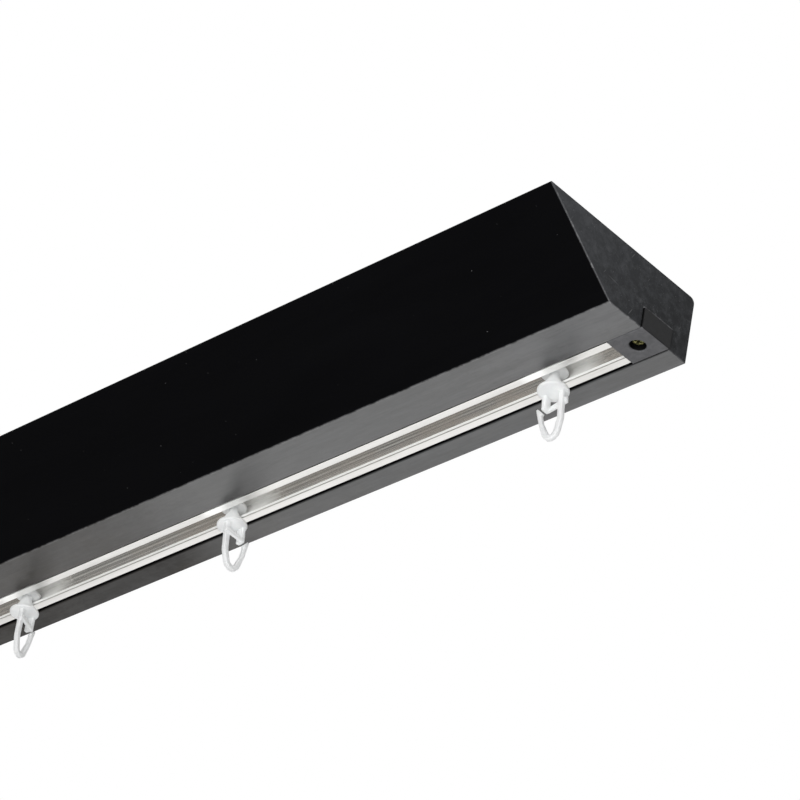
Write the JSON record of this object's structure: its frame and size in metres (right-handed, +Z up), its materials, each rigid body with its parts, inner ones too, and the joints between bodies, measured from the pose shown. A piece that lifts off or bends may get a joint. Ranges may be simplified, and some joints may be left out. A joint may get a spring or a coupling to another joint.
{
  "type": "ceiling curtain track",
  "caption": "Painted cornice beam with a slanted front and an aluminium rail let into its underside, closed by end caps; moulded gliders with snap hooks slide along it.",
  "frame": {"origin": "centre of the beam's top face, which lies against the ceiling", "axes": "+X along the track to its right-hand end, +Y from the room to the wall, +Z up"},
  "size_m": [0.8018, 0.0854, 0.0604],
  "materials": {
    "black_paint": "satin black paint over a smooth wooden moulding",
    "mill_aluminium": "extruded, with fine lengthwise lines",
    "cap_plastic": "fine matt moulding",
    "yellow_zinc": "yellow passivated zinc",
    "bright_zinc": "bright zinc",
    "glider_plastic": "natural milky plastic, slightly translucent"
  },
  "bodies": {
    "track": {"cornice_beam": "black_paint", "track_rail": "mill_aluminium", "end_cap_left": "cap_plastic", "end_cap_right": "cap_plastic", "end_cap_screws": "yellow_zinc", "rail_screws": "bright_zinc"},
    "runner_1": {"glider_1": "glider_plastic"},
    "runner_2": {"glider_2": "glider_plastic"},
    "runner_3": {"glider_3": "glider_plastic"},
    "runner_4": {"glider_4": "glider_plastic"},
    "runner_5": {"glider_5": "glider_plastic"},
    "runner_6": {"glider_6": "glider_plastic"},
    "runner_7": {"glider_7": "glider_plastic"},
    "runner_8": {"glider_8": "glider_plastic"}
  },
  "joints": [
    {"name": "glider_1_slide", "type": "slide", "parent": "track", "child": "runner_1", "axis": [1, 0, 0], "range_m": [-0.1677, 0.0281]},
    {"name": "glider_2_slide", "type": "slide", "parent": "track", "child": "runner_2", "axis": [1, 0, 0], "range_m": [-0.1174, 0.1677]},
    {"name": "glider_3_slide", "type": "slide", "parent": "track", "child": "runner_3", "axis": [1, 0, 0], "range_m": [-0.0784, 0.1174]},
    {"name": "glider_4_slide", "type": "slide", "parent": "track", "child": "runner_4", "axis": [1, 0, 0], "range_m": [-0.0724, 0.0784]},
    {"name": "glider_5_slide", "type": "slide", "parent": "track", "child": "runner_5", "axis": [1, 0, 0], "range_m": [-0.064, 0.0724]},
    {"name": "glider_6_slide", "type": "slide", "parent": "track", "child": "runner_6", "axis": [1, 0, 0], "range_m": [-0.0525, 0.064]},
    {"name": "glider_7_slide", "type": "slide", "parent": "track", "child": "runner_7", "axis": [1, 0, 0], "range_m": [-0.0472, 0.0525]},
    {"name": "glider_8_slide", "type": "slide", "parent": "track", "child": "runner_8", "axis": [1, 0, 0], "range_m": [-0.027, 0.0472]}
  ]
}
